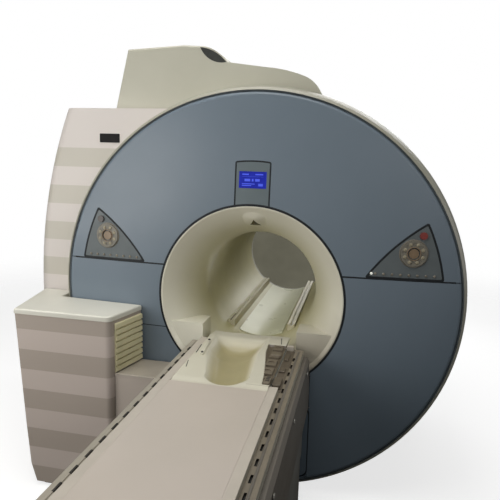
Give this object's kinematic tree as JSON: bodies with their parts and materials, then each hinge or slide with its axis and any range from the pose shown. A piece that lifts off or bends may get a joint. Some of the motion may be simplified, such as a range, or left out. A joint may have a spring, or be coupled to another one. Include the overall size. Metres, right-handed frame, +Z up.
{
  "type": "medical imaging scanner with patient table",
  "caption": "Round-fronted magnetic resonance scanner with a flared patient bore, keypads, display, side cabinet and a docked lifting patient table whose top slides into the bore.",
  "frame": {"origin": "on the floor under the middle of the patient bore, at the centre of the magnet base's underside", "axes": "+Y along the bore from the table into the scanner, +X to the right seen from the table's foot, +Z up"},
  "size_m": [2.337, 3.76, 2.275],
  "materials": {
    "dome_paint": "satin grey-blue",
    "cream_plastic": "matte cream",
    "cream_light": "satin light cream",
    "band_cover": "cream with darker level bands",
    "cabinet_grey": "warm grey with darker level bands",
    "top_light": "matte light grey",
    "louvre_olive": "matte",
    "seal_rubber": "matte black",
    "bore_lining": "satin",
    "table_top": "satin warm beige",
    "table_side": "matte warm grey",
    "keypad": "matte grey-blue film",
    "dial_grey": "matte grey",
    "stop_red": "red",
    "stop_dark": "dark",
    "screen": "lit blue display",
    "socket_dark": "dark connectors",
    "steel": "brushed",
    "frame_alu": "mill finish",
    "coil_resin": "cast resin",
    "grille_dark": "black",
    "plinth_dark": "dark paint"
  },
  "bodies": {
    "scanner": {"magnet_vessel": "steel", "bore_liner": "bore_lining", "body_coil": "coil_resin", "gradient_coil": "coil_resin", "magnet_saddles": "steel", "magnet_base_plate": "steel", "cover_rings": "frame_alu", "upper_front_panel": "dome_paint", "lower_right_panel": "dome_paint", "lower_left_panel": "dome_paint", "middle_left_panel": "dome_paint", "bay_side_panels": "dome_paint", "low_centre_cover": "dome_paint", "mouth_seal_ring": "seal_rubber", "dome_edge_seal": "seal_rubber", "rim_cover": "cream_plastic", "display_frame": "dome_paint", "lcd_screen": "screen", "front_funnel": "cream_light", "arm_ledges": "cream_light", "lamp_housing": "cream_light", "table_bay": "cream_light", "rear_mouth_ring": "cream_light", "bore_trough": "cream_light", "bore_rails": "bore_lining", "left_side_cover": "band_cover", "right_side_cover": "cream_plastic", "top_cover": "top_light", "intake_grille": "grille_dark", "rear_cover": "cream_plastic", "cabinet_shell": "cabinet_grey", "cabinet_lid": "top_light", "cabinet_plinth": "plinth_dark", "cabinet_louvres": "louvre_olive", "ledge_box": "top_light", "ledge_box_plinth": "plinth_dark", "table_base_plate": "plinth_dark", "lower_lift_cover": "table_side", "lift_cylinders": "steel", "left_control_panel": "keypad", "right_control_panel": "keypad"},
    "lift_frame": {"table_frame": "frame_alu", "glide_strips": "bore_lining", "left_slotted_rail": "table_side", "right_slotted_rail": "table_side", "left_table_skirt": "table_side", "right_table_skirt": "table_side", "table_head_cover": "table_side", "table_foot_cover": "table_side", "lift_rams": "steel"},
    "tabletop": {"tabletop_board": "table_top", "tabletop_head": "cream_light", "coil_sockets": "socket_dark"},
    "lift_cover": {"middle_lift_cover": "table_side"},
    "left_ring_dial_body": {"left_ring_dial": "dial_grey"},
    "left_push_button_body": {"left_push_button": "dial_grey"},
    "left_stop_button_body": {"left_stop_button": "stop_dark"},
    "right_ring_dial_body": {"right_ring_dial": "dial_grey"},
    "right_push_button_body": {"right_push_button": "dial_grey"},
    "right_stop_button_body": {"right_stop_button": "stop_red"}
  },
  "joints": [
    {"name": "table_lift", "type": "slide", "parent": "scanner", "child": "lift_frame", "axis": [0, 0, 1], "range_m": [-0.29, 0]},
    {"name": "tabletop_travel", "type": "slide", "parent": "lift_frame", "child": "tabletop", "axis": [0, 1, 0], "range_m": [0, 1.5]},
    {"name": "lift_cover_travel", "type": "slide", "parent": "scanner", "child": "lift_cover", "axis": [0, 0, 1], "range_m": [-0.145, 0]},
    {"name": "left_dial_turn", "type": "hinge", "parent": "scanner", "child": "left_ring_dial_body", "pos_m": [-0.76224, -0.80205, 1.294], "axis": [-0.0853, -0.9959, 0.0307], "range_deg": [-30, 30], "stiffness_Nm_per_rad": 0.15},
    {"name": "left_push_press", "type": "slide", "parent": "scanner", "child": "left_push_button_body", "axis": [0.0853, 0.9959, -0.0307], "range_m": [0, 0.003], "stiffness_N_per_m": 600, "springref_m": -0.002},
    {"name": "left_stop_press", "type": "slide", "parent": "scanner", "child": "left_stop_button_body", "axis": [0.0893, 0.9952, -0.0399], "range_m": [0, 0.005], "stiffness_N_per_m": 800, "springref_m": -0.003},
    {"name": "right_dial_turn", "type": "hinge", "parent": "scanner", "child": "right_ring_dial_body", "pos_m": [0.76224, -0.80205, 1.294], "axis": [0.0853, -0.9959, 0.0307], "range_deg": [-30, 30], "stiffness_Nm_per_rad": 0.15},
    {"name": "right_push_press", "type": "slide", "parent": "scanner", "child": "right_push_button_body", "axis": [-0.0853, 0.9959, -0.0307], "range_m": [0, 0.003], "stiffness_N_per_m": 600, "springref_m": -0.002},
    {"name": "right_stop_press", "type": "slide", "parent": "scanner", "child": "right_stop_button_body", "axis": [-0.0893, 0.9952, -0.0399], "range_m": [0, 0.005], "stiffness_N_per_m": 800, "springref_m": -0.003}
  ],
  "couplings": [
    {"joint": "lift_cover_travel", "follows": "table_lift", "ratio": 0.5}
  ]
}
